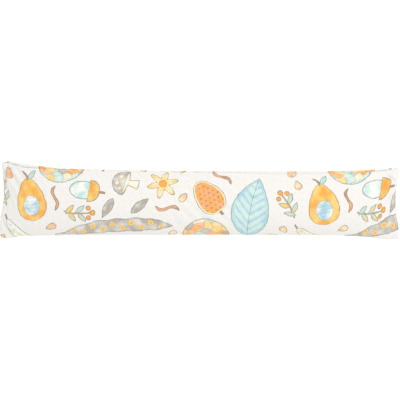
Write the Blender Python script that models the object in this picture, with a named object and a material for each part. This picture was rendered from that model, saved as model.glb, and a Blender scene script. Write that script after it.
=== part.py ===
"""A draught excluder: a long cloth cushion filled with loose fibre, lying on its back.

The bag is a length of cotton folded lengthwise, sewn along the far edge and across both ends, so it is flat
and widest at its ends and narrower where the filling lifts it. Metres, +Z up, X along the cushion, the seamed
long edge on the +Y side, the origin on the floor under the middle of its box.
"""

import math

import bpy
import numpy as np
from mathutils import Vector

# Driving sizes
LENGTH = 0.880
THICKNESS = 0.077
CORNER_RADIUS = 0.007

# The two long edges seen from above, one row per station along the cushion.
EDGE_COLUMNS = ("x", "near_y", "far_y")
EDGES = (
    (-0.4400, -0.0826, 0.0846),
    (-0.4220, -0.0824, 0.0861),
    (-0.3960, -0.0789, 0.0795),
    (-0.3650, -0.0779, 0.0758),
    (-0.3180, -0.0776, 0.0692),
    (-0.2190, -0.0769, 0.0662),
    (-0.0870, -0.0768, 0.0641),
    (0.0900, -0.0768, 0.0638),
    (0.2230, -0.0769, 0.0631),
    (0.3330, -0.0788, 0.0647),
    (0.3820, -0.0824, 0.0658),
    (0.4100, -0.0847, 0.0671),
    (0.4400, -0.0849, 0.0687),
)

# The two sewn ends seen from above, one row per place across the cushion: 0 is the near corner, 1 the far one.
END_COLUMNS = ("across", "left_x", "right_x")
ENDS = (
    (0.00, -0.4384, 0.4394),
    (0.15, -0.4400, 0.4394),
    (0.30, -0.4381, 0.4352),
    (0.45, -0.4322, 0.4330),
    (0.60, -0.4303, 0.4324),
    (0.75, -0.4303, 0.4352),
    (0.90, -0.4336, 0.4390),
    (1.00, -0.4354, 0.4400),
)

# How the filling rises from an end seam to the full thickness
END_SEAM_HEIGHT = 0.025
END_RISE_LENGTH = 0.230
END_RISE_POWER = 2.6
END_RISE_FULLNESS = 0.60
FLOOR_LIFT_LENGTH = 0.080
FLOOR_LIFT_POWER = 1.5

# How a cross-section is shaped: its side line, its flat patch on the floor, and how sharp its sides are
SIDE_HEIGHT_SHARE = 0.42
FLOOR_PATCH_SHARE = 0.50
FILLED_SHARPNESS = 0.53
EMPTY_SHARPNESS = 0.92

# The long seam is a narrow valley in the upper cloth, this many columns in from the far edge
SEAM_COLUMNS_IN = 3
SEAM_DEPTH = 0.0013
SEAM_FADE_LENGTH = 0.030

# Soft folds pressed into the filled cloth: each starts at an end or corner and dies out along its run, seen from
# above. It is a trough where its height is negative. Face 1 is the upper cloth and -1 the lower one.
FOLD_COLUMNS = ("face", "x_from", "y_from", "x_to", "y_to", "half_width", "height")
FOLDS = (
    (1, -0.430, 0.077, -0.350, 0.024, 0.0085, -0.0042),
    (1, -0.424, 0.083, -0.326, 0.052, 0.0075, 0.0020),
    (1, -0.434, -0.068, -0.352, -0.030, 0.0090, -0.0042),
    (1, -0.431, 0.038, -0.386, 0.031, 0.0065, -0.0024),
    (1, -0.431, 0.010, -0.378, 0.004, 0.0075, -0.0028),
    (1, -0.435, -0.018, -0.392, -0.016, 0.0065, -0.0022),
    (1, -0.439, -0.042, -0.398, -0.036, 0.0060, -0.0018),
    (1, 0.436, 0.062, 0.346, 0.020, 0.0090, -0.0042),
    (1, 0.434, -0.076, 0.352, -0.036, 0.0090, -0.0044),
    (1, 0.426, -0.080, 0.336, -0.062, 0.0075, 0.0018),
    (1, 0.435, 0.032, 0.390, 0.024, 0.0065, -0.0024),
    (1, 0.433, 0.006, 0.382, 0.002, 0.0075, -0.0028),
    (1, 0.434, -0.024, 0.392, -0.022, 0.0065, -0.0022),
    (1, 0.438, -0.050, 0.398, -0.042, 0.0060, -0.0018),
    (-1, -0.428, 0.075, -0.356, 0.028, 0.0090, 0.0034),
    (-1, -0.432, -0.070, -0.356, -0.036, 0.0090, 0.0034),
    (-1, -0.431, 0.014, -0.388, 0.008, 0.0080, 0.0024),
    (-1, 0.434, 0.058, 0.356, 0.022, 0.0090, 0.0034),
    (-1, 0.432, -0.074, 0.356, -0.038, 0.0090, 0.0034),
    (-1, 0.433, -0.006, 0.390, -0.006, 0.0080, 0.0024),
)
FOLD_DYING = 0.6
# Folds and swells have their full height only where the cloth stands this far from its side line.
FOLD_FULL_AT = 0.012

# Uneven filling: broad low swells and dips of the upper cloth.
SWELL_COLUMNS = ("x", "y", "reach_x", "reach_y", "height")
SWELLS = (
    (-0.300, -0.002, 0.060, 0.045, 0.0016),
    (-0.190, -0.018, 0.055, 0.040, -0.0016),
    (-0.060, 0.004, 0.070, 0.050, 0.0012),
    (0.075, -0.012, 0.050, 0.045, -0.0014),
    (0.190, 0.002, 0.065, 0.050, 0.0014),
    (0.305, -0.014, 0.050, 0.040, -0.0010),
)

# Mesh rows along the length, closer together in the two end zones, and columns across each cloth
END_ZONE_SHARE = 0.14
END_ZONE_ROWS = 17
END_ZONE_CROWDING = 1.25
MIDDLE_ROWS = 36
COLUMNS = 30

CLOTH_COLOUR = (0.90, 0.88, 0.83, 1.0)
CLOTH_ROUGHNESS = 0.85


def ease(value):
    """A smooth step from 0 to 1."""
    value = max(0.0, min(1.0, value))
    return value * value * (3 - 2 * value)


def read_curve(rows, columns, key, name, at):
    """A column of a table as a smooth curve over its key column, read at one place."""
    keys = [row[columns.index(key)] for row in rows]
    values = [row[columns.index(name)] for row in rows]
    slopes = np.gradient(values, keys)
    at = max(keys[0], min(keys[-1], at))
    i = min(len(keys) - 2, int(np.searchsorted(keys, at, side="right")) - 1)
    span = keys[i + 1] - keys[i]
    k = (at - keys[i]) / span
    start = values[i] * (2 * k**3 - 3 * k**2 + 1) + slopes[i] * span * (k**3 - 2 * k**2 + k)
    stop = values[i + 1] * (3 * k**2 - 2 * k**3) + slopes[i + 1] * span * (k**3 - k**2)
    return float(start + stop)


def round_corner(from_end, from_side):
    """Distances from an end and from a long edge, drawn in so that the corner between them is a round one."""
    u = CORNER_RADIUS - from_end
    v = CORNER_RADIUS - from_side
    if u <= 0 or v <= 0:
        return from_end, from_side
    share = max(u, v) / math.hypot(u, v)
    return CORNER_RADIUS - u * share, CORNER_RADIUS - v * share


def plan_point(along, across):
    """A point of the cloth seen from above: along runs from 0 left to 1 right, across from 0 near to 1 far."""
    left = read_curve(ENDS, END_COLUMNS, "across", "left_x", across)
    right = read_curve(ENDS, END_COLUMNS, "across", "right_x", across)
    x = (along - 0.5) * LENGTH
    x += (left + LENGTH / 2) * (1 - ease(along / END_ZONE_SHARE))
    x += (right - LENGTH / 2) * (1 - ease((1 - along) / END_ZONE_SHARE))
    near = read_curve(EDGES, EDGE_COLUMNS, "x", "near_y", x)
    far = read_curve(EDGES, EDGE_COLUMNS, "x", "far_y", x)
    y = near + (far - near) * across
    from_end, from_side = round_corner(min(x - left, right - x), min(y - near, far - y))
    x = left + from_end if along < 0.5 else right - from_end
    y = near + from_side if across < 0.5 else far - from_side
    return Vector((x, y))


def filled_share(from_end):
    """How much of its full rise the upper cloth has at this distance from the nearer end seam."""
    to_full = max(0.0, 1.0 - from_end / END_RISE_LENGTH)
    return (1.0 - to_full**END_RISE_POWER) ** END_RISE_FULLNESS


def fold_height(place, face):
    """The sum of the folds and swells at a place, as a height."""
    total = 0.0
    for row in FOLDS:
        fold = dict(zip(FOLD_COLUMNS, row))
        if fold["face"] != face:
            continue
        start = Vector((fold["x_from"], fold["y_from"]))
        run = Vector((fold["x_to"], fold["y_to"])) - start
        k = max(0.0, min(1.0, (place - start).dot(run) / run.length_squared))
        away = (place - start - run * k).length / fold["half_width"]
        total += fold["height"] * math.exp(-away * away) * (1 - k) ** FOLD_DYING
    if face < 0:
        return total
    for row in SWELLS:
        swell = dict(zip(SWELL_COLUMNS, row))
        dx = (place.x - swell["x"]) / swell["reach_x"]
        dy = (place.y - swell["y"]) / swell["reach_y"]
        total += swell["height"] * math.exp(-dx * dx - dy * dy)
    return total


def cloth_point(along, side, face):
    """A point of the upper (face 1) or lower (face -1) cloth; side runs from -1, near edge, to 1, far edge."""
    place = plan_point(along, (side + 1) / 2)
    from_end = min(along, 1 - along) * LENGTH
    filled = filled_share(from_end)
    crown = END_SEAM_HEIGHT + (THICKNESS - END_SEAM_HEIGHT) * filled
    side_line = END_SEAM_HEIGHT + (THICKNESS * SIDE_HEIGHT_SHARE - END_SEAM_HEIGHT) * filled
    sharpness = FILLED_SHARPNESS + (EMPTY_SHARPNESS - FILLED_SHARPNESS) * (1 - filled)
    if face > 0:
        fullness = max(0.0, 1 - side * side) ** sharpness
        height = side_line + (crown - side_line) * fullness
    else:
        lift = END_SEAM_HEIGHT * (1 - ease(from_end / FLOOR_LIFT_LENGTH)) ** FLOOR_LIFT_POWER
        rim = max(0.0, (abs(side) - FLOOR_PATCH_SHARE) / (1 - FLOOR_PATCH_SHARE))
        fullness = max(0.0, 1 - rim * rim) ** sharpness
        height = side_line + (lift - side_line) * fullness
    height += fold_height(place, face) * min(1.0, abs(height - side_line) / FOLD_FULL_AT)
    return Vector((place.x, place.y, max(0.0, height)))


def rows_along():
    """Shares along the length, closer together in the end zones."""
    end = [END_ZONE_SHARE * (i / END_ZONE_ROWS) ** END_ZONE_CROWDING for i in range(END_ZONE_ROWS)]
    span = 1 - 2 * END_ZONE_SHARE
    middle = [END_ZONE_SHARE + span * i / MIDDLE_ROWS for i in range(MIDDLE_ROWS + 1)]
    return end + middle + [1 - share for share in reversed(end)]


def sides_across():
    """Places across the cloth, closer together at the long edges."""
    return [-math.cos(math.pi * i / COLUMNS) for i in range(COLUMNS + 1)]


def press_seam(points, index, rows):
    """Push the column of the long seam inwards, fading out towards both ends."""
    column = COLUMNS - SEAM_COLUMNS_IN
    for i in range(1, len(rows) - 1):
        from_end = min(rows[i], 1 - rows[i]) * LENGTH
        before = points[index[1, i, column - 1]]
        after = points[index[1, i, column + 1]]
        inwards = Vector((0.0, after.z - before.z, before.y - after.y)).normalized()
        points[index[1, i, column]] += inwards * SEAM_DEPTH * ease(from_end / SEAM_FADE_LENGTH)


def centre_over_origin(points):
    """Shift the points sideways until the middle of their box is over the origin."""
    middle_x = (min(point.x for point in points) + max(point.x for point in points)) / 2
    middle_y = (min(point.y for point in points) + max(point.y for point in points)) / 2
    for point in points:
        point.x -= middle_x
        point.y -= middle_y


def cushion_mesh():
    """The closed skin of the filled bag: an upper and a lower cloth that share their outline."""
    rows = rows_along()
    sides = sides_across()
    points = []
    index = {}
    for face in (1, -1):
        for i, along in enumerate(rows):
            for j, side in enumerate(sides):
                on_outline = i in (0, len(rows) - 1) or j in (0, COLUMNS)
                if on_outline and face < 0:
                    index[face, i, j] = index[1, i, j]
                    continue
                index[face, i, j] = len(points)
                points.append(cloth_point(along, side, face))
    press_seam(points, index, rows)
    centre_over_origin(points)
    quads = []
    for face in (1, -1):
        for i in range(len(rows) - 1):
            for j in range(COLUMNS):
                corners = ((i, j), (i + 1, j), (i + 1, j + 1), (i, j + 1))
                quad = [index[face, row, column] for row, column in corners]
                quads.append(quad if face > 0 else quad[::-1])
    mesh = bpy.data.meshes.new("cushion")
    mesh.from_pydata([tuple(point) for point in points], [], quads)
    mesh.update()
    return mesh


def cloth_material():
    """Plain cream cotton."""
    material = bpy.data.materials.new("cloth")
    material.use_nodes = True
    shader = material.node_tree.nodes["Principled BSDF"]
    shader.inputs["Base Color"].default_value = CLOTH_COLOUR
    shader.inputs["Roughness"].default_value = CLOTH_ROUGHNESS
    shader.inputs["Metallic"].default_value = 0.0
    return material


def main():
    for obj in list(bpy.data.objects):
        bpy.data.objects.remove(obj)
    mesh = cushion_mesh()
    mesh.shade_smooth()
    mesh.materials.append(cloth_material())
    cushion = bpy.data.objects.new("cushion", mesh)
    bpy.context.scene.collection.objects.link(cushion)


main()
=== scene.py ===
"""The looks of a draught excluder: a printed cotton bag filled with loose fibre.

The bag is a ring of cloth for each row along the cushion. It starts on its filled outline, is given the
lengths that it was cut to, and settles over its filling into its own wrinkles. The print is a set of
formulas in the cloth's material, in millimetres of flat cloth. Metres elsewhere, +Z up, X along the cushion.
"""

import math

import bpy
import numpy as np
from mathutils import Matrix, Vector


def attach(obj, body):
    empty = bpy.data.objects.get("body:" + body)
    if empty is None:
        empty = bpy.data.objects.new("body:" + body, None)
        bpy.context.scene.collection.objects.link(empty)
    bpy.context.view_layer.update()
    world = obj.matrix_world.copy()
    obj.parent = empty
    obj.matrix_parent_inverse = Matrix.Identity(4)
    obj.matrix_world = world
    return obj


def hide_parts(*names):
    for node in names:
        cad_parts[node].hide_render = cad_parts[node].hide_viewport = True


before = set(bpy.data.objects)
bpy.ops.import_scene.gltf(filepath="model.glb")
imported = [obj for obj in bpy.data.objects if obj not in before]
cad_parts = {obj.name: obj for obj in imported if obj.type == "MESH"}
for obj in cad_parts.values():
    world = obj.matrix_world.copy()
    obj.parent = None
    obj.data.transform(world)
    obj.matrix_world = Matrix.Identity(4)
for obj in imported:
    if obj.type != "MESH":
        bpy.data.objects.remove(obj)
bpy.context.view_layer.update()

# The outline of the filled bag seen from above: its two long edges, a row per station along it.
EDGE_COLUMNS = ("x", "near_y", "far_y")
EDGES = (
    (-0.4400, -0.0866, 0.0842),
    (-0.4220, -0.0868, 0.0858),
    (-0.4060, -0.0836, 0.0832),
    (-0.3960, -0.0811, 0.0810),
    (-0.3650, -0.0800, 0.0764),
    (-0.3180, -0.0798, 0.0698),
    (-0.2190, -0.0787, 0.0662),
    (-0.0870, -0.0782, 0.0636),
    (0.0900, -0.0782, 0.0636),
    (0.2230, -0.0788, 0.0630),
    (0.3330, -0.0808, 0.0640),
    (0.3820, -0.0846, 0.0662),
    (0.4100, -0.0882, 0.0678),
    (0.4300, -0.0882, 0.0694),
    (0.4400, -0.0882, 0.0716),
)

# Its two sewn ends, a row per place across it: 0 is the near corner, 1 the far one.
END_COLUMNS = ("across", "left_x", "right_x")
ENDS = (
    (0.00, -0.4384, 0.4424),
    (0.15, -0.4400, 0.4414),
    (0.30, -0.4381, 0.4374),
    (0.45, -0.4322, 0.4356),
    (0.60, -0.4308, 0.4352),
    (0.75, -0.4312, 0.4380),
    (0.90, -0.4345, 0.4420),
    (1.00, -0.4365, 0.4430),
)

# The cloth's girth as cut, a row per place along it from 0 left to 1 right. It is a little more than the
# filling needs. The seams gather the cloth to a share of its length.
CUT_COLUMNS = ("along", "girth")
CUT = (
    (0.00, 0.341),
    (0.03, 0.350),
    (0.10, 0.3635),
    (0.50, 0.3605),
    (0.88, 0.3555),
    (0.95, 0.337),
    (1.00, 0.312),
)
CUT_SLACK_ALONG = 1.003
LONG_SEAM_GATHER = 0.985
END_SEAM_GATHER = 0.985

# The filling. The spread of its lumps is in rows and columns of the grid.
LENGTH = 0.880
THICKNESS = 0.077
LEFT_CORNER_RADIUS = 0.013
RIGHT_CORNER_RADIUS = 0.004
END_SEAM_HEIGHT = 0.025
END_RISE_LENGTH = 0.230
END_RISE_POWER = 2.6
END_RISE_FULLNESS = 0.60
END_ZONE_SHARE = 0.14
FLOOR_LIFT_LENGTH = 0.080
FLOOR_LIFT_POWER = 1.5
SIDE_HEIGHT_SHARE = 0.42
FLOOR_PATCH_SHARE = 0.50
FILLED_SHARPNESS = 0.53
EMPTY_SHARPNESS = 0.92
LUMP_HEIGHT = 0.0009
LUMP_SPREAD = 9
LUMP_FADE_LENGTH = 0.050

# The long seam. Roll is how far up and round it lies from the far widest line, and press is its share of
# the full depth.
SEAM_COLUMNS = ("x", "roll", "press")
SEAM_ROLLS = (
    (-0.440, 0.000, 1.00),
    (-0.395, 0.012, 1.00),
    (-0.330, 0.010, 0.90),
    (-0.200, 0.006, 0.70),
    (-0.050, 0.008, 0.60),
    (0.080, 0.016, 0.45),
    (0.290, 0.016, 0.45),
    (0.380, 0.009, 0.60),
    (0.440, 0.000, 0.80),
)
SEAM_DEPTH = 0.0016
SEAM_WIDTH = 0.0016
SEAM_FADE_LENGTH = 0.040

# The soft rolls on either side of the long seam, and those beside the end seams.
SEAM_PUFF = 0.0006
SEAM_PUFF_AWAY = 0.0045
SEAM_PUFF_WIDTH = 0.0028
END_SEAM_PUFF = 0.0009
END_PUFF_RISE_LENGTH = 0.0025
END_PUFF_LENGTH = 0.004
END_PUFF_FADE_LENGTH = 0.010

# How unevenly the long seam puckers: shares of its depth, and radians per metre along it.
LONG_PUCKER = 0.22
LONG_PUCKER_RATE = 310
PUCKER_WANDER = 1.7
PUCKER_WANDER_RATE = 47
SHORT_PUCKER = 0.14
SHORT_PUCKER_RATE = 760

# The sharp creases of the upper side, seen from above.
CREASE_COLUMNS = ("start_x", "start_y", "stop_x", "stop_y", "depth", "width")
CREASES = (
    (-0.4300, 0.0700, -0.4262, 0.0380, 0.0026, 0.0026),
    (-0.4270, 0.0650, -0.4060, 0.0740, 0.0010, 0.0030),
    (-0.4250, -0.0600, -0.4080, -0.0760, 0.0018, 0.0026),
    (0.4244, 0.0030, 0.4170, -0.0400, 0.0018, 0.0018),
    (0.4130, 0.0560, 0.4330, 0.0440, 0.0016, 0.0026),
)

# The ridge beside a crease is a share of its depth, so many widths away, and each end of it starts so far
# along a half wave. Creases show where the cloth faces up by more than the start, fully after the range.
CREASE_RIDGE = 0.35
CREASE_RIDGE_AWAY = 2
CREASE_END_SHARE = 0.08
UPPER_SIDE_START = 0.15
UPPER_SIDE_RANGE = 0.3

# The painted shade of a narrow slit along a seam or a sharp crease: its width, and how deep a crease gets it
# fully.
PAINTED_SHADE_WIDTH = 0.0013
PAINTED_SHADE_FULL_DEPTH = 0.0032

# The grid of the cloth: points in a ring, the steps between rings, and how finely both are measured out.
AROUND = 96
ROW_STEP_END = 0.0030
ROW_STEP_MIDDLE = 0.0048
ROW_EASE_SHARE = 0.18
ROW_SAMPLES = 2001
OUTLINE_STEPS = 200

# How the cloth settles over the filling.
SEED = 3
START_ROUGHNESS = 0.0002
SETTLING_STEPS = 240
PUFFING_STEPS = 205
CLOTH_PASSES = 2
KEPT_SPEED = 0.9
PUFF_PER_STEP = 2.0e-6
STRETCH_STIFFNESS = 0.9
SHEAR_STIFFNESS = 0.15
BEND_STIFFNESS = 0.08
BEND_ROOM = 0.985
FILLING_GIVE = 0.0006
FILLING_STIFFNESS = 0.15
HIGHEST_RIDGE = 0.006
RIDGE_STIFFNESS = 0.5
DRIFT_BACK = 0.01
END_HOLD = 0.15
PLY_GAP = 0.0004
PLY_ZONE = 0.060
PLY_FADE_LENGTH = 0.004
TINY_LENGTH = 1e-9
TINY_AREA = 1e-12

# How the settled cloth is brought back to its outline, and how its corners are eased, in rows and columns.
DRIFT_ROWS = 4
LEAST_SPAN = 0.004
CORNER_ROWS = 6
CORNER_COLUMNS = 6
CORNER_PASSES = 6
CORNER_SOFTNESS = 0.5


def ease(value):
    """A smooth step from 0 to 1."""
    value = np.clip(value, 0, 1)
    return value * value * (3 - 2 * value)


def read_curve(rows, columns, key, name, at):
    """A column of a table as a smooth curve over its key column, read at many places."""
    keys = np.array([row[columns.index(key)] for row in rows])
    values = np.array([row[columns.index(name)] for row in rows])
    slopes = np.gradient(values, keys)
    at = np.clip(at, keys[0], keys[-1])
    i = np.clip(np.searchsorted(keys, at, side="right") - 1, 0, len(keys) - 2)
    span = keys[i + 1] - keys[i]
    k = (at - keys[i]) / span
    start = values[i] * (2 * k**3 - 3 * k**2 + 1) + slopes[i] * span * (k**3 - 2 * k**2 + k)
    stop = values[i + 1] * (3 * k**2 - 2 * k**3) + slopes[i + 1] * span * (k**3 - k**2)
    return start + stop


def plan_places(along, across):
    """Points of the cloth seen from above: along from 0 left to 1 right, across from 0 near to 1 far."""
    left = read_curve(ENDS, END_COLUMNS, "across", "left_x", across)
    right = read_curve(ENDS, END_COLUMNS, "across", "right_x", across)
    x = (along - 0.5) * LENGTH
    x = x + (left + LENGTH / 2) * (1 - ease(along / END_ZONE_SHARE))
    x = x + (right - LENGTH / 2) * (1 - ease((1 - along) / END_ZONE_SHARE))
    near = read_curve(EDGES, EDGE_COLUMNS, "x", "near_y", x)
    far = read_curve(EDGES, EDGE_COLUMNS, "x", "far_y", x)
    y = near + (far - near) * across
    # A place in the square of a corner is drawn in, so that the square becomes a quarter round.
    radius = np.where(along < 0.5, LEFT_CORNER_RADIUS, RIGHT_CORNER_RADIUS)
    u = radius - np.minimum(x - left, right - x)
    v = radius - np.minimum(y - near, far - y)
    in_corner = (u > 0) & (v > 0)
    share = np.maximum(u, v) / np.hypot(u, v)
    from_end = radius - u * share
    from_side = radius - v * share
    x = np.where(in_corner, np.where(along < 0.5, left + from_end, right - from_end), x)
    y = np.where(in_corner, np.where(across < 0.5, near + from_side, far - from_side), y)
    return x, y


def filling_surface(along, side, upper):
    """Points of the filling's upper or lower side; side runs from -1, near edge, to 1, far edge."""
    x, y = plan_places(along, (side + 1) / 2)
    from_end = np.minimum(along, 1 - along) * LENGTH
    to_full = np.maximum(0, 1 - from_end / END_RISE_LENGTH)
    filled = (1 - to_full**END_RISE_POWER) ** END_RISE_FULLNESS
    crown = END_SEAM_HEIGHT + (THICKNESS - END_SEAM_HEIGHT) * filled
    side_line = END_SEAM_HEIGHT + (THICKNESS * SIDE_HEIGHT_SHARE - END_SEAM_HEIGHT) * filled
    sharpness = FILLED_SHARPNESS + (EMPTY_SHARPNESS - FILLED_SHARPNESS) * (1 - filled)
    if upper:
        z = side_line + (crown - side_line) * np.maximum(0, 1 - side * side) ** sharpness
    else:
        lift = END_SEAM_HEIGHT * (1 - ease(from_end / FLOOR_LIFT_LENGTH)) ** FLOOR_LIFT_POWER
        rim = np.maximum(0, (np.abs(side) - FLOOR_PATCH_SHARE) / (1 - FLOOR_PATCH_SHARE))
        z = side_line + (lift - side_line) * np.maximum(0, 1 - rim * rim) ** sharpness
    return np.stack([x, y, z], -1)


def row_shares():
    """Places of the grid's rows along the cushion, closer together towards the ends."""
    share = np.linspace(0, 1, ROW_SAMPLES)
    inwards = ease(np.minimum(share, 1 - share) / ROW_EASE_SHARE)
    step = ROW_STEP_END + (ROW_STEP_MIDDLE - ROW_STEP_END) * inwards
    count = np.cumsum(1 / step)
    count = (count - count[0]) / (count[-1] - count[0])
    rows = round(LENGTH * float(np.mean(1 / step)))
    return np.interp(np.linspace(0, 1, rows + 1), count, share)


def filling_rings(rows):
    """The filling as a ring of points for each row, from the long seam over the top and back underneath."""
    sides = np.cos(np.pi * np.arange(OUTLINE_STEPS + 1) / OUTLINE_STEPS)[None]
    along = rows[:, None] + 0 * sides
    upper = filling_surface(along, sides + 0 * along, True)
    lower = filling_surface(along, -sides + 0 * along, False)
    outline = np.concatenate([upper, lower[:, 1:]], 1)
    steps = np.linalg.norm(np.diff(outline, axis=1), axis=2)
    lengths = np.concatenate([np.zeros((len(rows), 1)), np.cumsum(steps, 1)], 1)
    rings = np.zeros((len(rows), AROUND, 3))
    for i, share in enumerate(rows):
        roll = read_curve(SEAM_ROLLS, SEAM_COLUMNS, "x", "roll", (share - 0.5) * LENGTH)
        at = (roll + lengths[i, -1] * np.arange(AROUND) / AROUND) % lengths[i, -1]
        for axis in range(3):
            rings[i, :, axis] = np.interp(at, lengths[i], outline[i, :, axis])
    points = rings.reshape(-1, 3)
    rings[..., :2] -= ((points.max(0) + points.min(0)) / 2)[:2]
    return rings


def outward(rings):
    """Unit directions out of the bag at every point of the grid."""
    along = np.gradient(rings, axis=0)
    around = np.roll(rings, -1, 1) - np.roll(rings, 1, 1)
    out = np.cross(around, along)
    return out / np.maximum(np.linalg.norm(out, axis=2, keepdims=True), TINY_AREA)


def lumps(shape, rng):
    """Smooth random swells of loose filling over the grid, about 1 high."""
    field = rng.standard_normal(shape)
    mirrored = np.concatenate([field, field[::-1]], 0)
    per_row = np.fft.fftfreq(len(mirrored))[:, None]
    per_column = np.fft.fftfreq(shape[1])[None]
    blur = np.exp(-2 * (math.pi * LUMP_SPREAD) ** 2 * (per_row**2 + per_column**2))
    smooth = np.real(np.fft.ifft2(np.fft.fft2(mirrored) * blur))[: shape[0]]
    return smooth / smooth.std()


def pull(points, first, second, length, stiffness, only_apart=False):
    """Moves pairs of points along their line towards their cut length, or only ever apart."""
    line = points[second] - points[first]
    now = np.sqrt((line * line).sum(-1))
    excess = (now - length) / np.maximum(now, TINY_LENGTH)
    if only_apart:
        excess = np.minimum(excess, 0)
    move = line * (excess * (0.5 * stiffness))[..., None]
    points[first] += move
    points[second] -= move


def pull_cloth(points, along, around, across):
    """One pass over the cloth's threads, its bias and its folds. Pairs in one call never share a point."""
    count = len(points)
    whole = slice(None)
    inner = slice(1, count - 1)
    row_sets = [(slice(s, count - 1, 2), slice(s + 1, count, 2)) for s in (0, 1)]
    column_sets = [np.arange(s, AROUND, 2) for s in (0, 1)]
    for start, (low, high) in enumerate(row_sets):
        pull(points, (low,), (high,), along[start::2], STRETCH_STIFFNESS)
    for columns in column_sets:
        after = (columns + 1) % AROUND
        pull(points, (whole, columns), (whole, after), around[:, columns], STRETCH_STIFFNESS)
    for start, (low, high) in enumerate(row_sets):
        for columns in column_sets:
            after = (columns + 1) % AROUND
            pull(points, (low, columns), (high, after), across[start::2, columns], SHEAR_STIFFNESS)
            pull(points, (low, after), (high, columns), across[start::2, columns], SHEAR_STIFFNESS)
    for start in range(4):
        rows = np.arange(start, count - 2, 4)
        pull(points, (rows,), (rows + 2,), along[rows] + along[rows + 1], BEND_STIFFNESS, True)
        columns = np.arange(start, AROUND, 4)
        room = 2 * BEND_ROOM * around[inner][:, columns]
        pull(points, (inner, columns), (inner, (columns + 2) % AROUND), room, BEND_STIFFNESS, True)


def cut_cloth(rows, rings):
    """The lengths of each cell's threads as cut: along, around, across. Then each row's place and girth."""
    girth = read_curve(CUT, CUT_COLUMNS, "along", "girth", rows)
    around = (girth / AROUND)[:, None] * np.ones((1, AROUND))
    crown = rings[:, AROUND // 4]
    taut = np.linalg.norm(np.diff(crown, axis=0), axis=1) * CUT_SLACK_ALONG
    along = taut[:, None] * np.ones((1, AROUND))
    across = np.hypot(along, (around[1:] + around[:-1]) / 2)
    along[:, 0] *= LONG_SEAM_GATHER
    around[[0, -1]] *= END_SEAM_GATHER
    places = np.concatenate([[0], np.cumsum(taut)])
    return along, around, across, places, girth


def hold_on_filling(points, filling, out):
    """Keeps the cloth out of its filling, its ridges low, its drift small and all of it above the floor."""
    height = ((points - filling) * out).sum(-1)
    drift = (points - filling) - out * height[..., None]
    sunk = np.minimum(height + FILLING_GIVE, 0) * FILLING_STIFFNESS
    proud = np.maximum(height - HIGHEST_RIDGE, 0) * RIDGE_STIFFNESS
    points -= out * (sunk + proud)[..., None] + drift * DRIFT_BACK
    points[..., 2] = np.maximum(points[..., 2], 0)


def hold_ends(points, rings, from_end):
    """Keeps the two end rows sewn shut, and the upper and lower cloth apart beside them."""
    mirrored = -np.arange(AROUND) % AROUND
    upper = np.arange(1, AROUND // 2)
    lower = mirrored[upper]
    for end in (0, -1):
        sewn = (points[end] + points[end][mirrored]) / 2
        points[end] = sewn + (rings[end] - sewn) * END_HOLD
    for i in np.nonzero((from_end < PLY_ZONE) & (from_end > 0))[0]:
        middle = (points[i, upper, 2] + points[i, lower, 2]) / 2
        gap = PLY_GAP * min(1, from_end[i] / PLY_FADE_LENGTH)
        points[i, upper, 2] = np.maximum(points[i, upper, 2], middle + gap)
        points[i, lower, 2] = np.minimum(points[i, lower, 2], middle - gap)


def settle(rows, rings):
    """The cloth, cut to its flat lengths and let settle over the filling."""
    rng = np.random.default_rng(SEED)
    out = outward(rings)
    free = rings[..., 2] > PLY_GAP
    from_end = np.minimum(rows, 1 - rows) * LENGTH
    swell = lumps(rings.shape[:2], rng) * LUMP_HEIGHT * ease(from_end / LUMP_FADE_LENGTH)[:, None] * free
    filling = rings + out * swell[..., None]
    points = filling + out * (rng.standard_normal(free.shape) * START_ROUGHNESS * free)[..., None]
    along, around, across, places, girth = cut_cloth(rows, rings)
    before = points.copy()
    for step in range(SETTLING_STEPS):
        moved = (points - before) * KEPT_SPEED
        before = points.copy()
        points = points + moved
        if step < PUFFING_STEPS:
            points += outward(points) * PUFF_PER_STEP
        for _ in range(CLOTH_PASSES):
            pull_cloth(points, along, around, across)
        hold_on_filling(points, filling, out)
        hold_ends(points, rings, from_end)
    return points, places, girth


def slow_change(values):
    """The values of the rows without their quick changes from row to row."""
    wide = np.concatenate([np.full(DRIFT_ROWS, values[0]), values, np.full(DRIFT_ROWS, values[-1])])
    weights = np.hanning(2 * DRIFT_ROWS + 3)[1:-1]
    return np.convolve(wide, weights / weights.sum(), "valid")


def take_out_drift(points, rings):
    """The settled bag brought back to its measured outline and crown, with its own folds kept."""
    points = points.copy()
    points[..., 0] += slow_change(rings[..., 0].mean(1) - points[..., 0].mean(1))[:, None]
    for axis in (1, 2):
        low, high = points[..., axis].min(1), points[..., axis].max(1)
        true_low, true_high = rings[..., axis].min(1), rings[..., axis].max(1)
        span = np.maximum(high - low, LEAST_SPAN)
        true_span = np.maximum(true_high - true_low, LEAST_SPAN)
        middle = (high + low) / 2
        growth = slow_change(true_span / span)
        shift = slow_change((true_high + true_low) / 2 - middle)
        away = points[..., axis] - middle[:, None]
        points[..., axis] = (middle + shift)[:, None] + away * growth[:, None]
    points[..., 2] = np.maximum(points[..., 2], 0)
    return points


def soften_corners(points):
    """The four corners eased where their last few threads would tangle."""
    count, around = points.shape[:2]
    row = np.minimum(np.arange(count), count - 1 - np.arange(count))
    column = np.arange(around)
    turn = np.minimum(np.minimum(column, around - column), np.abs(column - around // 2))
    weight = (1 - ease(row / CORNER_ROWS))[:, None] * (1 - ease(turn / CORNER_COLUMNS))[None]
    for _ in range(CORNER_PASSES):
        middle = (np.roll(points, 1, 1) + np.roll(points, -1, 1)) / 2
        middle[1:-1] = (middle[1:-1] + (points[:-2] + points[2:]) / 2) / 2
        points = points + (middle - points) * weight[..., None] * CORNER_SOFTNESS
    return points


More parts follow.
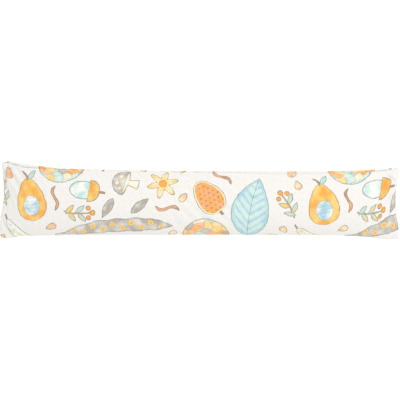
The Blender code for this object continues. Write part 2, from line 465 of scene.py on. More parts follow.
def halve_rows(grid):
    """The grid with a smooth new row between each two, by the four-point rule."""
    padded = np.concatenate([2 * grid[:1] - grid[1:2], grid, 2 * grid[-1:] - grid[-2:-1]], 0)
    between = (9 * (padded[1:-2] + padded[2:-1]) - padded[:-3] - padded[3:]) / 16
    fine = np.zeros((2 * len(grid) - 1,) + grid.shape[1:])
    fine[::2] = grid
    fine[1::2] = between
    return fine


def halve_columns(grid):
    """The grid with a smooth new column between each two, by the same rule, all the way round."""
    near = grid + np.roll(grid, -1, 1)
    wide = np.roll(grid, 1, 1) + np.roll(grid, -2, 1)
    fine = np.zeros((grid.shape[0], 2 * grid.shape[1]) + grid.shape[2:])
    fine[:, ::2] = grid
    fine[:, 1::2] = (9 * near - wide) / 16
    return fine


def seam_press(points):
    """How hard each row's long seam is drawn in, from 0 to 1."""
    return read_curve(SEAM_ROLLS, SEAM_COLUMNS, "x", "press", points[:, 0, 0])


def seam_distance(around, girth):
    """How far round each point of the grid lies from the long seam."""
    index = np.arange(around)
    return np.minimum(index, around - index)[None] * (girth[:, None] / around)


def press_seams(points, along, girth):
    """The long seam as a narrow valley between two soft rolls, and soft rolls beside the end seams."""
    out = outward(points)
    away = seam_distance(points.shape[1], girth)
    from_end = np.minimum(along, along[-1] - along)[:, None]
    wander = PUCKER_WANDER * np.sin(along * PUCKER_WANDER_RATE)
    long_puckers = LONG_PUCKER * np.sin(along * LONG_PUCKER_RATE + wander)
    short_puckers = SHORT_PUCKER * np.sin(along * SHORT_PUCKER_RATE)
    pressed = SEAM_DEPTH * ((1 + long_puckers + short_puckers) * seam_press(points))[:, None]
    valley = -pressed * np.exp(-((away / SEAM_WIDTH) ** 2))
    rolls = SEAM_PUFF * np.exp(-(((away - SEAM_PUFF_AWAY) / SEAM_PUFF_WIDTH) ** 2))
    shape = (valley + rolls) * ease(from_end / SEAM_FADE_LENGTH)
    end_fade = 1 - ease((from_end - END_PUFF_LENGTH) / END_PUFF_FADE_LENGTH)
    shape += END_SEAM_PUFF * ease(from_end / END_PUFF_RISE_LENGTH) * end_fade
    points = points + out * shape[..., None]
    points[..., 2] = np.maximum(points[..., 2], 0)
    return points


def press_creases(points):
    """The sharp creases as soft troughs, each deepest halfway along, with a small ridge on either side."""
    out = outward(points)
    upper = ease((out[..., 2] - UPPER_SIDE_START) / UPPER_SIDE_RANGE)
    depth = np.zeros(points.shape[:2])
    for row in CREASES:
        crease = dict(zip(CREASE_COLUMNS, row))
        start = np.array([crease["start_x"], crease["start_y"]])
        line = np.array([crease["stop_x"], crease["stop_y"]]) - start
        away = points[..., :2] - start
        share = np.clip((away @ line) / (line @ line), 0, 1)
        distance = np.linalg.norm(away - share[..., None] * line, axis=2) / crease["width"]
        trough = np.exp(-(distance**2)) - CREASE_RIDGE * np.exp(-((distance - CREASE_RIDGE_AWAY) ** 2))
        swell = np.sin(math.pi * (CREASE_END_SHARE + (1 - 2 * CREASE_END_SHARE) * share))
        depth += crease["depth"] * trough * swell * upper
    return points - out * depth[..., None], np.maximum(depth, 0)


def painted_shade_share(depth, girth, press):
    """How much painted shade each point gets, from 0 to 1: the shadow of a narrow slit in the long seam or
    in a sharp crease.
    """
    away = seam_distance(depth.shape[1], girth)
    seam = np.exp(-((away / PAINTED_SHADE_WIDTH) ** 2)) * press[:, None]
    return np.clip(np.maximum(seam, depth / PAINTED_SHADE_FULL_DEPTH), 0, 1)


def bag_mesh(points, depth):
    """A closed mesh of the grid with its end rows sewn shut and its painted slit shade, and the row and
    column of each of its quads.
    """
    rows, around = points.shape[:2]
    half = around // 2
    index = np.arange(rows * around).reshape(rows, around)
    for end in (0, rows - 1):
        index[end, half + 1 :] = index[end, 1:half][::-1]
    used, compact = np.unique(index, return_inverse=True)
    compact = compact.reshape(index.shape)
    after = np.roll(compact, -1, 1)
    quads = np.stack([compact[:-1], after[:-1], after[1:], compact[1:]], -1).reshape(-1, 4)
    mesh = bpy.data.meshes.new("cover")
    mesh.from_pydata(points.reshape(-1, 3)[used].tolist(), [], quads.tolist())
    mesh.shade_smooth()
    # Painted shade: how dark each point is painted for the slit of a seam or a crease.
    painted_slit_shade = mesh.attributes.new("painted_slit_shade", "FLOAT", "POINT")
    painted_slit_shade.data.foreach_set("value", depth.ravel()[used].astype("f"))
    row, column = np.divmod(np.arange(len(quads)), around)
    return mesh, row, column


# The print, in millimetres of flat cloth: u runs along the cushion from its left end, and v runs from the
# near fold over the top to the long seam. It repeats every REPEAT along, and again one HALF_DROP further on
# and up. Enough copies are taken each way to cover the whole cloth.
MM_PER_METRE = 1000
REPEAT = 640.0
HALF_DROP = (320.0, 180.0)
REPEATS = range(-2, 3)
HALF_DROPS = range(-2, 2)

# The kinds of motif, each with how far it reaches along its own direction, p, and across it, q.
MOTIF_COLUMNS = ("kind", "reach_p", "reach_q")
MOTIFS = (
    ("leaf", 96.0, 47.0),
    ("pod", 142.0, 25.0),
    ("pear", 70.0, 41.0),
    ("acorn", 47.0, 30.0),
    ("mushroom", 40.0, 38.0),
    ("flower", 39.0, 39.0),
    ("gourd", 57.0, 55.0),
    ("peas", 60.0, 22.0),
    ("cone", 51.0, 37.0),
    ("plume", 30.0, 14.0),
    ("twig", 32.0, 14.0),
    ("bud", 16.0, 12.0),
    ("sprig", 44.0, 23.0),
)

# Where each motif lies in one repeat, and its turn in degrees.
LAYOUT_COLUMNS = ("kind", "u", "v", "turn")
LAYOUT = (
    ("leaf", 565, 90, 80),
    ("pod", 270, 40, 5),
    ("pear", 80, 105, 100),
    ("acorn", 205, 125, -10),
    ("mushroom", 285, 145, 165),
    ("flower", 370, 140, 75),
    ("gourd", 465, 15, 10),
    ("peas", 60, 20, -35),
    ("cone", 470, 115, 130),
    ("sprig", 5, 105, 120),
    ("sprig", 185, 75, -5),
    ("plume", 250, 85, 60),
    ("plume", 320, 90, -140),
    ("bud", 335, 0, 30),
    ("twig", 380, 85, -10),
    ("twig", 135, 110, -90),
    ("twig", 500, 165, -45),
    ("bud", 125, 45, -160),
    ("bud", 610, 20, 15),
    ("bud", 635, 45, -60),
    ("bud", 415, 110, 50),
    ("bud", 390, 20, -130),
    ("bud", 10, 5, 30),
    ("bud", 25, 150, 105),
)

# The widths of the print's edges and lines.
INK_SOFTNESS = 0.5
LINE_SOFTNESS = 0.5
OUTLINE_WIDTH = 1.05
FINE = 0.55

# The pin-dots of the ground.
DOT_PITCH = 15.5
DOT_RADIUS = 1.2
DOT_CLEARANCE = 2.0
DOT_STRENGTH = 0.3

# The hand-drawn wobble of the motifs, their watery washes and their grain, with specks per millimetre.
WOBBLE = 3.4
WOBBLE_PER_MM = 0.09
WASH_PER_MM = 0.045
WASH_START = 0.36
WASH_STEEPNESS = 3.4
GRAIN_PER_MM = 0.55
LEAST_INK = 0.80
INK_GRAIN = 0.34
POOL_WIDTH = 3.2
POOL_STRENGTH = 0.16

# The pencil, pressed unevenly.
PRESSURE_PER_MM = 0.16
LEAST_PRESSURE = 0.35
PRESSURE_RANGE = 0.9
PENCIL_STRENGTH = 0.75
INNER_LINE_STRENGTH = 0.8

# How deep inside a motif a point counts before the motifs are tried: far outside them all.
NO_MOTIF = -99.0


def srgb(red, green, blue):
    """A colour given as it shows on a screen, 0 to 255, in the shader's own linear terms."""
    shown = [c / 255 for c in (red, green, blue)]
    linear = [c / 12.92 if c <= 0.04045 else ((c + 0.055) / 1.055) ** 2.4 for c in shown]
    return (*linear, 1.0)


GROUND = srgb(240, 237, 232)
TEAL = srgb(196, 228, 221)
BLUE = srgb(172, 212, 224)
ORANGE = srgb(250, 174, 70)
PEACH = srgb(244, 178, 128)
MUSTARD = srgb(250, 212, 124)
CREAM = srgb(247, 234, 194)
WHITE = srgb(247, 247, 240)
GREY = srgb(186, 177, 166)
BROWN = srgb(190, 152, 122)
PENCIL = srgb(88, 90, 82)


def motif_table():
    """Every printed motif on the cloth: its kind's number, centre, direction and reach."""
    numbers = {name: number for number, (name, _, _) in enumerate(MOTIFS)}
    copies = []
    for row in LAYOUT:
        motif = dict(zip(LAYOUT_COLUMNS, row))
        number = numbers[motif["kind"]]
        kind = dict(zip(MOTIF_COLUMNS, MOTIFS[number]))
        turn = math.radians(motif["turn"])
        for drop in HALF_DROPS:
            for repeat in REPEATS:
                centre_u = motif["u"] + drop * HALF_DROP[0] + repeat * REPEAT
                centre_v = motif["v"] + drop * HALF_DROP[1]
                copies.append((number, centre_u, centre_v, turn, kind["reach_p"], kind["reach_q"]))
    return np.array(copies)


def corner_attribute(mesh, name, vectors):
    """Gives every corner of every face of the mesh a vector of its own."""
    carried = mesh.attributes.new(name, "FLOAT_VECTOR", "CORNER")
    carried.data.foreach_set("vector", vectors.astype("f").ravel())


def print_coordinates(mesh, row, column, along, girth, around):
    """Gives the mesh its places on the flat cloth, and each face its place within the nearest motif."""
    corner_row = row[:, None] + np.array([0, 0, 1, 1])
    corner_column = column[:, None] + np.array([0, 1, 1, 0])
    u = along[corner_row] * MM_PER_METRE
    v = (0.5 - corner_column / around) * girth[corner_row] * MM_PER_METRE
    corner_attribute(mesh, "cloth_mm", np.stack([u, v, np.zeros_like(u)], -1))
    middle_u = u.mean(1)
    middle_v = v.mean(1)
    nearest = np.full(len(u), np.inf)
    local = np.zeros(u.shape + (3,))
    for number, centre_u, centre_v, turn, reach_p, reach_q in motif_table():
        cos, sin = math.cos(turn), math.sin(turn)
        p = (middle_u - centre_u) * cos + (middle_v - centre_v) * sin
        q = (middle_v - centre_v) * cos - (middle_u - centre_u) * sin
        distance = np.hypot(p / reach_p, q / reach_q)
        closer = distance < nearest
        nearest[closer] = distance[closer]
        du = u[closer] - centre_u
        dv = v[closer] - centre_v
        local[closer] = np.stack([du * cos + dv * sin, dv * cos - du * sin, np.full_like(du, number)], -1)
    corner_attribute(mesh, "motif_mm", local)


class Term:
    """A number inside a material, so that a drawing can be written as a formula."""

    nodes = None
    links = None

    def __init__(self, socket):
        self.socket = socket

    def __add__(self, other):
        return calc("ADD", self, other)

    def __radd__(self, other):
        return calc("ADD", other, self)

    def __sub__(self, other):
        return calc("SUBTRACT", self, other)

    def __rsub__(self, other):
        return calc("SUBTRACT", other, self)

    def __mul__(self, other):
        return calc("MULTIPLY", self, other)

    def __rmul__(self, other):
        return calc("MULTIPLY", other, self)

    def __truediv__(self, other):
        return calc("DIVIDE", self, other)

    def __abs__(self):
        return calc("ABSOLUTE", self)


def plug(value, socket):
    """Puts a term, another node's socket or a plain value into a socket."""
    if isinstance(value, Term):
        Term.links.new(value.socket, socket)
    elif isinstance(value, bpy.types.NodeSocket):
        Term.links.new(value, socket)
    else:
        socket.default_value = value


def calc(operation, *values):
    """One step of arithmetic."""
    node = Term.nodes.new("ShaderNodeMath")
    node.operation = operation
    for socket, value in zip(node.inputs, values):
        plug(value, socket)
    return Term(node.outputs[0])


def smaller(a, b):
    """The smaller of two numbers."""
    return calc("MINIMUM", a, b)


def larger(a, b):
    """The larger of two numbers."""
    return calc("MAXIMUM", a, b)


def squared(a):
    """A number times itself."""
    return calc("MULTIPLY", a, a)


def root(a):
    """The square root of a number, or 0 below 0."""
    return calc("SQRT", larger(a, 0.0))


def wave(a):
    """The sine of a number."""
    return calc("SINE", a)


def share_of(a):
    """A number kept between 0 and 1."""
    term = calc("ADD", a, 0.0)
    term.socket.node.use_clamp = True
    return term


def inked(depth):
    """1 inside a shape, 0 outside, from how deep inside it a point is."""
    return share_of(depth / INK_SOFTNESS + 0.5)


def stroke(distance, width):
    """1 on a drawn line, 0 off it, from the distance to its middle."""
    return share_of((width - abs(distance)) / LINE_SOFTNESS)


def every(a, pitch):
    """Distance from the middle of the nearest step of a repeated pattern."""
    return (calc("FRACT", a / pitch) - 0.5) * pitch


def parity(a, pitch):
    """0 and 1 by turns, from one step of a repeated pattern to the next."""
    return calc("FLOORED_MODULO", calc("FLOOR", a / pitch), 2.0)


def oval(p, q, p0, q0, half_p, half_q):
    """How deep inside an oval a point is."""
    r = root(squared((p - p0) / half_p) + squared((q - q0) / half_q))
    return (1 - r) * min(half_p, half_q)


def lens(p, q, p0, q0, turn, half_length, half_width):
    """How deep inside a pointed leaf a point is, and its distance from the midrib."""
    cos, sin = math.cos(math.radians(turn)), math.sin(math.radians(turn))
    a = (p - p0) * cos + (q - q0) * sin
    b = (q - q0) * cos - (p - p0) * sin
    return half_width * (1 - squared(a / half_length)) - abs(b), b


# The sockets of a mix of colours.
MIX_FACTOR = 0
MIX_UNDER = 6
MIX_OVER = 7
MIX_RESULT = 2


def mix(factor, under, over, blend="MIX"):
    """A colour laid over another."""
    node = Term.nodes.new("ShaderNodeMix")
    node.data_type = "RGBA"
    node.blend_type = blend
    plug(factor, node.inputs[MIX_FACTOR])
    plug(under, node.inputs[MIX_UNDER])
    plug(over, node.inputs[MIX_OVER])
    return node.outputs[MIX_RESULT]


def mix_lines(under, shape, inside):
    """Line work: one kind outside a shape, another inside it, and the shape's own outline."""
    cover = inked(shape)
    return larger(larger(under * (1 - cover), inside * cover), stroke(shape, 0.7))


def draw_leaf(p, q, wash):
    """A big teal leaf with side veins and a short stalk."""
    half_length = 76.0
    half_width = 40.0
    vein_pitch = 19.0
    t = p / half_length
    q = q - 8.0 * (1 - squared(t)) + 4.0
    body = half_width * (1 - squared(t)) * (1 - 0.22 * t) - abs(q)
    stalk = smaller(2.2 - abs(q + 1.0), smaller(p + 92.0, -70.0 - p))
    slant = p - 0.8 * abs(q) - 0.004 * squared(q)
    vein = stroke(every(slant, vein_pitch), FINE)
    lines = larger(stroke(q, 0.9), vein) * inked(body - 3.0)
    between = stroke(every(slant + vein_pitch / 2, vein_pitch), 5.5) * inked(body - 7.0)
    colour = mix(wash, TEAL, BLUE)
    colour = mix(between * 0.35, colour, WHITE)
    colour = mix(inked(stalk), colour, BROWN)
    return larger(body, stalk), colour, lines


def draw_pod(p, q, wash):
    """A long grey pod with yellow seeds showing through, by turns high and low."""
    half_length = 122.0
    half_width = 18.5
    seed_pitch = 21.2
    seed_radius = 6.4
    t = squared(squared(p / half_length))
    q = q + 0.0006 * squared(p) - 3.0
    body = half_width * (1 - t) * (0.93 + 0.07 * calc("COSINE", p / 6.75)) - abs(q)
    stalk = smaller(2.4 - abs(q), smaller(p + 139.0, -114.0 - p))
    high = (parity(p, seed_pitch) - 0.5) * 11.0
    seed = seed_radius - root(squared(every(p, seed_pitch)) + squared(q - high))
    inside = inked(body - 2.0)
    colour = mix(wash * 0.6, GREY, WHITE)
    colour = mix(inked(seed) * inside, colour, MUSTARD)
    colour = mix(inked(seed - 3.4) * inside, colour, ORANGE)
    seam = stroke(body - 3.0, 0.4) * (1 - inked(seed + 1.0))
    return larger(body, stalk), colour, larger(stroke(seed, FINE), seam) * inked(body - 1.0)


def draw_pear(p, q, wash):
    """An orange pear with a scaled teal patch, a stalk and one leaf."""
    half_length = 47.0
    half_width = 32.0
    scale_length = 7.4
    scale_width = 9.2
    t = p / half_length
    rounded = half_width * root(1 - squared(t)) * (1 - 0.34 * t)
    body = smaller(rounded - abs(q), half_length - abs(p))
    stalk = smaller(1.9 - abs(q - 0.03 * squared(p - 44.0)), smaller(p - 42.0, 62.0 - p))
    leaf, rib = lens(p, q, 54.0, -10.0, -40.0, 14.0, 5.5)
    patch = oval(p, q, -14.0, 0.0, 22.0, 18.5)
    row = every(q + scale_width / 2 * parity(p, scale_length), scale_width)
    scale = every(p, scale_length) - 0.13 * squared(row) + 1.4
    colour = mix(wash, ORANGE, MUSTARD)
    colour = mix(inked(patch), colour, mix(wash, BLUE, WHITE))
    colour = mix(inked(leaf), colour, TEAL)
    colour = mix(inked(stalk), colour, BROWN)
    lines = larger(stroke(patch, 0.7), stroke(scale, FINE) * inked(patch))
    lines = larger(lines, stroke(rib, FINE) * inked(leaf))
    return larger(larger(body, stalk), leaf), colour, lines


def draw_acorn(p, q, wash):
    """A teal acorn in an orange cup."""
    hatch_pitch = 6.8
    nut = oval(p, q, -9.0, 0.0, 29.0, 20.0)
    cup = smaller(oval(p, q, 6.0, 0.0, 22.0, 24.5), p - 4.0)
    stalk = smaller(2.0 - abs(q), smaller(p - 26.0, 40.0 - p))
    hatch = larger(stroke(every(p + q, hatch_pitch), 0.5), stroke(every(p - q, hatch_pitch), 0.5))
    colour = mix(wash, TEAL, WHITE)
    colour = mix(inked(cup), colour, mix(wash, ORANGE, MUSTARD))
    colour = mix(inked(stalk), colour, BROWN)
    grain = stroke(every(q * (1 + 0.0008 * squared(p)), 8.0), 0.4) * inked(nut - 1.5) * 0.5
    return larger(larger(nut, cup), stalk), colour, mix_lines(grain, cup, hatch)


def draw_mushroom(p, q, wash):
    """A grey mushroom with cream spots, gills and stem."""
    cap = smaller(oval(p, q, -3.0, 0.0, 28.0, 31.0), p + 3.0)
    gills = oval(p, q, -3.0, 0.0, 8.0, 29.0)
    stem = smaller(6.5 + 0.004 * squared(p) - abs(q), smaller(p + 33.0, -2.0 - p))
    dot = larger(oval(p, q, 9.0, -11.0, 5.0, 5.5), oval(p, q, 13.0, 7.0, 4.5, 5.0))
    dot = larger(dot, oval(p, q, 4.5, 18.0, 3.2, 3.8))
    rays = stroke(every(q + 0.02 * q * p, 4.6), 0.5)
    colour = mix(wash * 0.6, CREAM, WHITE)
    colour = mix(inked(cap), colour, mix(wash * 0.6, GREY, WHITE))
    colour = mix(inked(dot), colour, CREAM)
    lines = rays * inked(gills) * (1 - inked(cap)) * (1 - inked(stem))
    lines = larger(lines, larger(stroke(cap, 0.7), stroke(dot, FINE)))
    lines = larger(lines, stroke(gills, FINE) * (1 - inked(cap)))
    return larger(larger(cap, gills), stem), colour, lines


def draw_flower(p, q, wash):
    """A cream flower of six petals round an orange middle."""
    petals = 6.0
    radius = 24.0
    petal_length = 10.0
    middle_radius = 9.0
    seed_ring_radius = 6.0
    r = root(squared(p) + squared(q))
    angle = calc("ARCTAN2", q, p)
    body = (radius + petal_length * calc("COSINE", angle * petals) - r) * 0.6
    middle = middle_radius - r
    rib = stroke(wave(angle * (petals / 2)) * r / 3.0, FINE) * inked(body - 3.0)
    seeds = stroke(every(angle, 0.7) * 7.0, 1.0) * stroke(r - seed_ring_radius, 1.2)
    colour = mix(wash, CREAM, MUSTARD)
    colour = mix(inked(middle), colour, ORANGE)
    return body, colour, mix_lines(rib * 0.8, middle, seeds)


# The patches of the gourd: their size, and the least random number that each colour takes.
PATCH_LENGTH = 19.0
PATCH_WIDTH = 15.0
PATCH_COLOURS = (
    (0.16, ORANGE),
    (0.34, TEAL),
    (0.52, MUSTARD),
    (0.66, CREAM),
    (0.84, PEACH),
)


def gourd_patches(p, q):
    """Uneven patches with a random number each, and how far a point is from the nearest edge of one."""
    patches = Term.nodes.new("ShaderNodeTexVoronoi")
    edges = Term.nodes.new("ShaderNodeTexVoronoi")
    place = Term.nodes.new("ShaderNodeCombineXYZ")
    plug(p / PATCH_LENGTH, place.inputs[0])
    plug(q / PATCH_WIDTH, place.inputs[1])
    edges.feature = "DISTANCE_TO_EDGE"
    for node in (patches, edges):
        node.voronoi_dimensions = "2D"
        node.inputs["Scale"].default_value = 1.0
        node.inputs["Randomness"].default_value = 0.85
        plug(place.outputs[0], node.inputs["Vector"])
    pick = Term.nodes.new("ShaderNodeSeparateColor")
    plug(patches.outputs["Color"], pick.inputs[0])
    return Term(pick.outputs[0]), Term(edges.outputs["Distance"]) * ((PATCH_LENGTH + PATCH_WIDTH) / 2)


def draw_gourd(p, q, wash):
    """A round gourd in patches of every colour of the print."""
    choice, from_edge = gourd_patches(p, q)
    colour = GREY
    for least, patch_colour in PATCH_COLOURS:
        colour = mix(calc("GREATER_THAN", choice, least), colour, patch_colour)
    colour = mix(wash * 0.35, colour, WHITE)
    body = oval(p, q, 0.0, 0.0, 52.0, 50.0)
    return body, colour, stroke(from_edge, 0.7) * inked(body)


def draw_peas(p, q, wash):
    """A curved cream pod with a row of ringed peas and an orange tip."""
    half_length = 47.0
    half_width = 12.5
    pea_pitch = 13.4
    pea_radius = 4.8
    t = p / half_length
    q = q - 9.0 * squared(t) + 4.0
    body = half_width * (1 - squared(squared(t))) - abs(q)
    stalk = smaller(1.8 - abs(q), smaller(p + 56.0, -45.0 - p))
    pea = pea_radius - root(squared(every(p, pea_pitch)) + squared(q))
    inside = inked(body - 2.5) * inked(36.0 - p)
    colour = mix(wash, CREAM, WHITE)
    colour = mix(inked(pea - 2.4) * inside, colour, TEAL)
    colour = mix(inked(stalk), colour, BROWN)
    colour = mix(inked(p - 38.0), colour, ORANGE)
    return larger(body, stalk), colour, larger(stroke(pea, FINE), stroke(pea - 2.6, 0.4)) * inside


def draw_cone(p, q, wash):
    """A fir cone in a cream rim, with rows of scales and dark tips."""
    half_length = 41.0
    half_width = 31.0
    rim = 5.0
    scale_length = 9.6
    scale_width = 11.0
    t = p / half_length
    rounded = half_width * root(1 - squared(t)) * (1 - 0.22 * t)
    body = smaller(rounded - abs(q), half_length - abs(p))
    stalk = smaller(2.2 - abs(q), smaller(p + 49.0, -39.0 - p))
    b = every(q + scale_width / 2 * parity(p, scale_length), scale_width)
    arch = every(p, scale_length) + 0.14 * squared(b) - 1.2
    tip = 1.9 - root(squared(arch) + squared(b))
    inside = inked(body - rim)
    colour = mix(inside, CREAM, mix(wash, PEACH, ORANGE))
    colour = mix(inked(stalk), colour, BROWN)
    lines = larger(stroke(arch, 0.5), inked(tip)) * inside
    return larger(body, stalk), colour, larger(lines, stroke(body - rim, FINE))


def draw_plume(p, q, wash):
    """A small grey feathery leaf."""
    half_length = 25.0
    half_width = 9.0
    barb_pitch = 5.0
    t = p / half_length
    body = half_width * (1 - squared(t)) * (1 + 0.3 * t) - abs(q)
    barbs = stroke(every(p - 1.2 * abs(q), barb_pitch), 0.5)
    lines = larger(barbs * 0.7, stroke(q, FINE)) * inked(body - 0.6)
    return body, mix(wash * 0.7, GREY, WHITE), lines


def draw_twig(p, q, wash):
    """A short brown twig, bent like an S."""
    half_length = 27.0
    half_width = 3.2
    bend = 6.0
    t = squared(squared(p / half_length))
    body = smaller(half_width * (1 - t * t) - abs(q - bend * wave(p / 9.0)), half_length - abs(p))
    return body, mix(wash, BROWN, PEACH), stroke(every(p, 5.0), 0.4) * inked(body) * 0.5


def draw_bud(p, q, wash):
    """A peach bud."""
    half_length = 11.5
    half_width = 7.0
    rounded = half_width * root(1 - squared(p / half_length)) * (1 - p / 26.0)
    body = smaller(rounded - abs(q), half_length - abs(p))
    return body, mix(wash, PEACH, CREAM), stroke(q, FINE) * inked(body - 1.0) * inked(p)


def draw_sprig(p, q, wash):
    """A stem with pointed leaves and orange berries."""
    stem = smaller(1.0 - abs(q - 0.004 * squared(p)), 30.0 - abs(p))
    leaves = stem
    ribs = stroke(stem, 0.3)
    leaf_places = ((-18.0, 8.0, 50.0), (-12.0, -8.0, -50.0), (4.0, 9.0, 46.0), (10.0, -9.0, -46.0))
    for p0, q0, turn in leaf_places:
        leaf, rib = lens(p, q, p0, q0, turn, 13.0, 4.8)
        leaves = larger(leaves, leaf)
        ribs = larger(ribs, stroke(rib, 0.5) * inked(leaf))
    berries = oval(p, q, 32.0, 3.0, 6.0, 6.0)
    for p0, q0 in ((22.0, 13.0), (24.0, -9.0)):
        berries = larger(berries, oval(p, q, p0, q0, 5.0, 5.0))
    colour = mix(inked(berries), mix(wash, TEAL, MUSTARD), ORANGE)
    return larger(leaves, berries), colour, larger(ribs, stroke(berries, FINE))


DRAWINGS = {
    "leaf": draw_leaf,
    "pod": draw_pod,
    "pear": draw_pear,
    "acorn": draw_acorn,
    "mushroom": draw_mushroom,
    "flower": draw_flower,
    "gourd": draw_gourd,
    "peas": draw_peas,
    "cone": draw_cone,
    "plume": draw_plume,
    "twig": draw_twig,
    "bud": draw_bud,
    "sprig": draw_sprig,
}


def noise(place, scale_u, scale_v, detail=2.0):
    """Noise over the flat cloth at so many specks per millimetre each way: its value and its colour."""
    stretch = Term.nodes.new("ShaderNodeVectorMath")
    stretch.operation = "MULTIPLY"
    plug(place, stretch.inputs[0])
    stretch.inputs[1].default_value = (scale_u, scale_v, 1.0)
    node = Term.nodes.new("ShaderNodeTexNoise")
    node.noise_dimensions = "2D"
    node.inputs["Scale"].default_value = 1.0
    node.inputs["Detail"].default_value = detail
    plug(stretch.outputs[0], node.inputs["Vector"])
    return Term(node.outputs[0]), node.outputs[1]


def attribute(name):
    """A vector that the mesh carries, and its three numbers."""
    node = Term.nodes.new("ShaderNodeAttribute")
    node.attribute_name = name
    parts = Term.nodes.new("ShaderNodeSeparateXYZ")
    plug(node.outputs["Vector"], parts.inputs[0])
    return node.outputs["Vector"], [Term(socket) for socket in parts.outputs]


def printed_shape(p, q, kind, wash):
    """The motif in or near which a point lies: how deep inside it is, its colour and its pencil lines."""
    body = calc("ADD", NO_MOTIF, 0.0)
    colour = GROUND
    lines = calc("ADD", 0.0, 0.0)
    for number, (name, _, _) in enumerate(MOTIFS):
        chosen = calc("COMPARE", kind, float(number), 0.5)
        depth, ink, drawn = DRAWINGS[name](p, q, wash)
        body = body + (depth - body) * chosen
        colour = mix(chosen, colour, ink)
        lines = lines + (drawn - lines) * chosen
    return body, colour, lines


def printed_colour(place, u, v):
    """The cloth's colour: the washes, edges and pencil lines of the print on an off-white, dotted ground."""
    p, q, kind = attribute("motif_mm")[1]
    shift = Term.nodes.new("ShaderNodeSeparateColor")
    plug(noise(place, WOBBLE_PER_MM, WOBBLE_PER_MM, detail=3.0)[1], shift.inputs[0])
    p = p + (Term(shift.outputs[0]) - 0.5) * WOBBLE
    q = q + (Term(shift.outputs[1]) - 0.5) * WOBBLE
    cloud = noise(place, WASH_PER_MM, WASH_PER_MM, detail=3.0)[0]
    wash = share_of((cloud - WASH_START) * WASH_STEEPNESS)
    body, colour, lines = printed_shape(p, q, kind, wash)
    grain = noise(place, GRAIN_PER_MM, GRAIN_PER_MM)[0]
    pooled = share_of(1 - body / POOL_WIDTH) * POOL_STRENGTH
    colour = mix(pooled, colour, PENCIL)
    cover = inked(body) * share_of(LEAST_INK + INK_GRAIN * grain)
    colour = mix(cover, GROUND, colour)
    unevenness = noise(place, PRESSURE_PER_MM, PRESSURE_PER_MM)[0]
    pressure = share_of(LEAST_PRESSURE + PRESSURE_RANGE * unevenness)
    drawn = larger(stroke(body, OUTLINE_WIDTH), lines * INNER_LINE_STRENGTH)
    printed = mix(drawn * pressure * PENCIL_STRENGTH, colour, PENCIL)
    dot = inked(DOT_RADIUS - root(squared(every(u, DOT_PITCH)) + squared(every(v, DOT_PITCH))))
    return mix(dot * (1 - inked(body + DOT_CLEARANCE)) * DOT_STRENGTH, printed, GREY)


# The cloth itself: its threads, its uneven yarns with specks per millimetre, and the shade painted into its
# slits.
THREAD_MM = 0.62
WEAVE_STRENGTH = 0.6
WEAVE_HEIGHT = 0.00006
YARN_LENGTHWAYS_PER_MM = 0.10
YARN_CROSSWAYS_PER_MM = 1.3
YARN_HEIGHT = 6.0
YARN_SHADE = 0.20
CLOTH_SHADE = 0.92
PAINTED_SHADE_STRENGTH = 0.34


def darkened(colour, shade):
    """A colour multiplied by a shade of grey."""
    grey = Term.nodes.new("ShaderNodeCombineColor")
    for socket in grey.inputs[:3]:
        plug(shade, socket)
    return mix(1.0, colour, grey.outputs[0], "MULTIPLY")


def cloth_material():
    """Plain-weave cotton, printed: threads, uneven yarns, shade painted into its seam and crease slits, and
    a soft sheen.
    """
    material = bpy.data.materials.new("printed_cotton")
    material.use_nodes = True
    Term.nodes = material.node_tree.nodes
    Term.links = material.node_tree.links
    shader = Term.nodes["Principled BSDF"]
    place, (u, v, _) = attribute("cloth_mm")
    weft = noise(place, YARN_LENGTHWAYS_PER_MM, YARN_CROSSWAYS_PER_MM)[0]
    warp = noise(place, YARN_CROSSWAYS_PER_MM, YARN_LENGTHWAYS_PER_MM)[0]
    yarns = (weft + warp - 1.0) * 0.5
    painted_slit_shade = Term.nodes.new("ShaderNodeAttribute")
    painted_slit_shade.attribute_name = "painted_slit_shade"
    # The colour is darkened by the yarns' own tone and by painted shade in the seam and crease slits.
    shade = share_of(CLOTH_SHADE + yarns * YARN_SHADE) * (1 - Term(painted_slit_shade.outputs["Fac"]) * PAINTED_SHADE_STRENGTH)
    plug(darkened(printed_colour(place, u, v), shade), shader.inputs["Base Color"])
    threads = wave(u * (math.tau / THREAD_MM)) * wave(v * (math.tau / THREAD_MM))
    bump = Term.nodes.new("ShaderNodeBump")
    bump.inputs["Strength"].default_value = WEAVE_STRENGTH
    bump.inputs["Distance"].default_value = WEAVE_HEIGHT
    plug(threads + yarns * YARN_HEIGHT, bump.inputs["Height"])
    plug(bump.outputs[0], shader.inputs["Normal"])
    shader.inputs["Roughness"].default_value = 0.86
    shader.inputs["Specular IOR Level"].default_value = 0.15
    shader.inputs["Sheen Weight"].default_value = 0.06
    shader.inputs["Sheen Roughness"].default_value = 0.5
    return material


def make_cover():
    """The printed bag, settled over its filling."""
    rows = row_shares()
    rings = filling_rings(rows)
    points, along, girth = settle(rows, rings)
    points = take_out_drift(soften_corners(points), rings)
    points = halve_columns(halve_rows(points))
    along = halve_rows(along)
    girth = halve_rows(girth)
    points, depth = press_creases(press_seams(points, along, girth))
    mesh, row, column = bag_mesh(points, painted_shade_share(depth, girth, seam_press(points)))
    print_coordinates(mesh, row, column, along, girth, points.shape[1])
    mesh.materials.append(cloth_material())
    cover = bpy.data.objects.new("cover", mesh)
    bpy.context.scene.collection.objects.link(cover)
    return cover


# The floor, the daylight and the soft boxes.
FLOOR_COLOUR = (0.95, 0.95, 0.95, 1.0)
FLOOR_GLOW = 0.22
FLOOR_SIZE = 24.0
DAYLIGHT = (1.0, 1.0, 1.0, 1.0)
DAYLIGHT_STRENGTH = 0.85
LIGHT_COLUMNS = ("name", "place", "size", "watts")
LIGHTS = (
    ("key", (0.5, 0.9, 2.6), 2.6, 28.0),
    ("fill", (0.9, -0.9, 2.4), 2.0, 8.0),
)

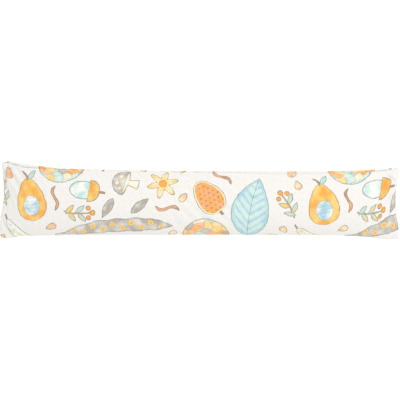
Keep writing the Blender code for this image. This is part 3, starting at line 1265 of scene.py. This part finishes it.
# The camera, so far away that the photograph's scale holds at the height of the cushion's outline.
PHOTO_WIDTH_PX = 400
METRES_PER_PX = 0.002208
PICTURE_MIDDLE = (0.0012, 0.0002)
LENS_MM = 100.0
SENSOR_MM = 36.0
OUTLINE_HEIGHT = 0.032


def make_floor():
    """A plain pale floor, large enough to fill every view from above."""
    half = FLOOR_SIZE / 2
    mesh = bpy.data.meshes.new("floor")
    corners = [(-half, -half, 0), (half, -half, 0), (half, half, 0), (-half, half, 0)]
    mesh.from_pydata(corners, [], [(0, 1, 2, 3)])
    material = bpy.data.materials.new("floor")
    material.use_nodes = True
    shader = material.node_tree.nodes["Principled BSDF"]
    shader.inputs["Base Color"].default_value = FLOOR_COLOUR
    shader.inputs["Roughness"].default_value = 0.9
    shader.inputs["Specular IOR Level"].default_value = 0.1
    shader.inputs["Emission Color"].default_value = FLOOR_COLOUR
    shader.inputs["Emission Strength"].default_value = FLOOR_GLOW
    mesh.materials.append(material)
    floor = bpy.data.objects.new("floor", mesh)
    bpy.context.scene.collection.objects.link(floor)
    return floor


def make_light(name, place, size, watts):
    """A square soft box that faces the middle of the cushion."""
    light = bpy.data.lights.new(name, "AREA")
    light.size = size
    light.energy = watts
    obj = bpy.data.objects.new(name, light)
    obj.location = place
    obj.rotation_euler = (-Vector(place)).to_track_quat("-Z", "Y").to_euler()
    bpy.context.scene.collection.objects.link(obj)


def make_studio():
    """Even daylight from all round, with two large soft lights."""
    for row in LIGHTS:
        make_light(**dict(zip(LIGHT_COLUMNS, row)))
    world = bpy.data.worlds.new("studio")
    world.use_nodes = True
    background = world.node_tree.nodes["Background"]
    background.inputs["Color"].default_value = DAYLIGHT
    background.inputs["Strength"].default_value = DAYLIGHT_STRENGTH
    bpy.context.scene.world = world
    bpy.context.scene.view_settings.view_transform = "Standard"


def make_camera():
    """A long lens straight above the cushion, with its length across the picture."""
    camera = bpy.data.cameras.new("camera")
    camera.lens = LENS_MM
    camera.sensor_width = SENSOR_MM
    distance = PHOTO_WIDTH_PX * METRES_PER_PX * LENS_MM / SENSOR_MM
    x, y = PICTURE_MIDDLE
    obj = bpy.data.objects.new("camera", camera)
    obj.location = (x, y, OUTLINE_HEIGHT + distance)
    bpy.context.scene.collection.objects.link(obj)
    bpy.context.scene.camera = obj


make_camera()
make_studio()
floor = make_floor()
cover = make_cover()
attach(cover, "root")
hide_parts("cushion")
